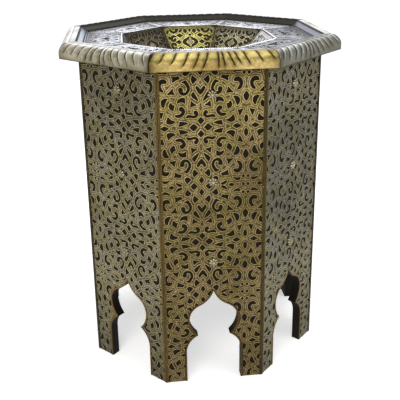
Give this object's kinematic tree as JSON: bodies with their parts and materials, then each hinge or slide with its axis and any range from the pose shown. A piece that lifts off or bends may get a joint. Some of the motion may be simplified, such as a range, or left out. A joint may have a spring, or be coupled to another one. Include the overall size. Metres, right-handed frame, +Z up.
{
  "type": "octagonal stool",
  "caption": "Octagonal stool with pierced brass sides, arched legs, a gadrooned rim and a sunken dish in its framed top.",
  "frame": {"origin": "middle of the base, on the floor that the feet stand on", "axes": "+Z up along the axis of the octagon, -Y out of the face that is in front in the picture, +X to the right of that face"},
  "size_m": [0.437, 0.437, 0.544],
  "materials": {
    "carcass_wood": "dark painted softwood, worn at the edges",
    "side_brass": "pierced and chased sheet, aged to olive brown",
    "strip_brass": "ribbed strip, dull brown gold",
    "rim_brass": "pressed sheet over wood, rubbed bright on the crest",
    "white_metal": "pierced nickel silver, lightly tarnished",
    "lining_metal": "plain strip, dark in its grooves",
    "well_brass": "pierced and chased sheet, yellower than the sides",
    "boss_metal": "domed rosettes, pale with a warm tint"
  },
  "bodies": {
    "root": {"side_board_1": "carcass_wood", "side_board_2": "carcass_wood", "side_board_3": "carcass_wood", "side_board_4": "carcass_wood", "side_board_5": "carcass_wood", "side_board_6": "carcass_wood", "side_board_7": "carcass_wood", "side_board_8": "carcass_wood", "side_panel_1": "side_brass", "side_panel_2": "side_brass", "side_panel_3": "side_brass", "side_panel_4": "side_brass", "side_panel_5": "side_brass", "side_panel_6": "side_brass", "side_panel_7": "side_brass", "side_panel_8": "side_brass", "corner_strip_1": "strip_brass", "corner_strip_2": "strip_brass", "corner_strip_3": "strip_brass", "corner_strip_4": "strip_brass", "corner_strip_5": "strip_brass", "corner_strip_6": "strip_brass", "corner_strip_7": "strip_brass", "corner_strip_8": "strip_brass", "rim_moulding_1": "rim_brass", "rim_moulding_2": "rim_brass", "rim_moulding_3": "rim_brass", "rim_moulding_4": "rim_brass", "rim_moulding_5": "rim_brass", "rim_moulding_6": "rim_brass", "rim_moulding_7": "rim_brass", "rim_moulding_8": "rim_brass", "top_plate_1": "white_metal", "top_plate_2": "white_metal", "top_plate_3": "white_metal", "top_plate_4": "white_metal", "top_plate_5": "white_metal", "top_plate_6": "white_metal", "top_plate_7": "white_metal", "top_plate_8": "white_metal", "well_panel_1": "well_brass", "well_panel_2": "well_brass", "well_panel_3": "well_brass", "well_panel_4": "well_brass", "well_panel_5": "well_brass", "well_panel_6": "well_brass", "well_panel_7": "well_brass", "well_panel_8": "well_brass", "top_frame_boards": "carcass_wood", "well_boards": "carcass_wood", "rim_linings": "lining_metal", "glue_blocks": "carcass_wood", "well_floor_board": "carcass_wood", "well_floor_sheet": "well_brass", "side_bosses": "boss_metal", "strip_tacks": "strip_brass", "plate_tacks": "white_metal"}
  },
  "joints": []
}
